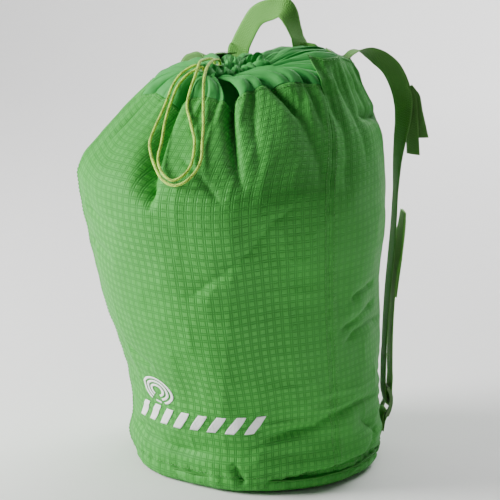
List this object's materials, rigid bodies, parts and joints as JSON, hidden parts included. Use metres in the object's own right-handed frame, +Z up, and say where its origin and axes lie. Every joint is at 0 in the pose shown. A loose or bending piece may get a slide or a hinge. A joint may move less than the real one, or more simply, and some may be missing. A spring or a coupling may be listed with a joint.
{
  "type": "rope storage bag",
  "caption": "Round-based fabric rope bag with a gathered drawcord neck, haul handle and adjustable webbing shoulder straps.",
  "frame": {"origin": "centre of the round base on the ground", "axes": "+Z up through the bag to the haul handle, -Y to the front of the bag, +X to the bag's right shoulder strap as seen from the front"},
  "size_m": [0.3279, 0.3591, 0.5059],
  "materials": {
    "body_fabric": "coated ripstop weave with a raised double-line grid, soft sheen",
    "collar_fabric": "smooth light nylon, slight sheen",
    "binding_tape": "matt woven tape",
    "webbing": "flat woven webbing",
    "cord": "braided cord with darker flecks",
    "stitching": "dense thread stitching",
    "buckle_plastic": "moulded, half gloss"
  },
  "bodies": {
    "bag": {"front_panel": "body_fabric", "back_panel": "body_fabric", "base_panel": "body_fabric", "base_binding": "binding_tape", "side_seam_tape_left": "binding_tape", "side_seam_tape_right": "binding_tape", "collar": "collar_fabric", "hem_channel": "collar_fabric", "hem_cord": "cord", "cord_patch_front": "stitching", "cord_patch_side": "stitching", "drawcord_outer_strand": "cord", "drawcord_inner_strand": "cord", "handle_web_ends": "webbing", "rope_end_loop": "webbing", "upper_web_end_left": "webbing", "upper_web_end_right": "webbing", "lower_anchor_patch_left": "body_fabric", "lower_anchor_patch_right": "body_fabric"},
    "handle": {"haul_handle": "webbing"},
    "strap_left": {"shoulder_strap_left": "webbing", "lower_strap_tab_left": "webbing"},
    "strap_right": {"shoulder_strap_right": "webbing", "lower_strap_tab_right": "webbing"},
    "ties_left": {"strap_tie_long_left": "webbing", "strap_tie_short_left": "webbing"},
    "ties_right": {"strap_tie_long_right": "webbing", "strap_tie_short_right": "webbing"},
    "lock_left": {"ladder_lock_left": "buckle_plastic"},
    "lock_right": {"ladder_lock_right": "buckle_plastic"},
    "tail_left": {"adjuster_tail_left": "webbing"},
    "tail_right": {"adjuster_tail_right": "webbing"}
  },
  "joints": [
    {"name": "handle_flop", "type": "hinge", "parent": "bag", "child": "handle", "pos_m": [-0.023, 0.054, 0.441], "axis": [1, 0, 0], "range_deg": [-70, 45]},
    {"name": "strap_swing_right", "type": "hinge", "parent": "bag", "child": "strap_right", "pos_m": [0.07171, 0.04803, 0.4485], "axis": [0.0994, 0.0777, -0.992], "range_deg": [-18, 18]},
    {"name": "strap_ties_swing_right", "type": "hinge", "parent": "strap_right", "child": "ties_right", "pos_m": [0.12923, 0.09297, 0.405], "axis": [0.6157, -0.788, 0], "range_deg": [0, 40]},
    {"name": "ladder_lock_tilt_right", "type": "hinge", "parent": "strap_right", "child": "lock_right", "pos_m": [0.11836, 0.08447, 0.0438], "axis": [-0.6157, 0.788, 0], "range_deg": [0, 25]},
    {"name": "adjuster_tail_swing_right", "type": "hinge", "parent": "lock_right", "child": "tail_right", "pos_m": [0.11867, 0.08472, 0.0742], "axis": [-0.6157, 0.788, 0], "range_deg": [0, 45]},
    {"name": "strap_swing_left", "type": "hinge", "parent": "bag", "child": "strap_left", "pos_m": [-0.08035, 0.03472, 0.4485], "axis": [-0.1114, 0.0592, -0.992], "range_deg": [-18, 18]},
    {"name": "strap_ties_swing_left", "type": "hinge", "parent": "strap_left", "child": "ties_left", "pos_m": [-0.14745, 0.0704, 0.405], "axis": [0.4695, 0.8829, 0], "range_deg": [0, 40]},
    {"name": "ladder_lock_tilt_left", "type": "hinge", "parent": "strap_left", "child": "lock_left", "pos_m": [-0.13262, 0.06251, 0.0438], "axis": [-0.4695, -0.8829, 0], "range_deg": [0, 25]},
    {"name": "adjuster_tail_swing_left", "type": "hinge", "parent": "lock_left", "child": "tail_left", "pos_m": [-0.13297, 0.0627, 0.0742], "axis": [-0.4695, -0.8829, 0], "range_deg": [0, 45]}
  ]
}
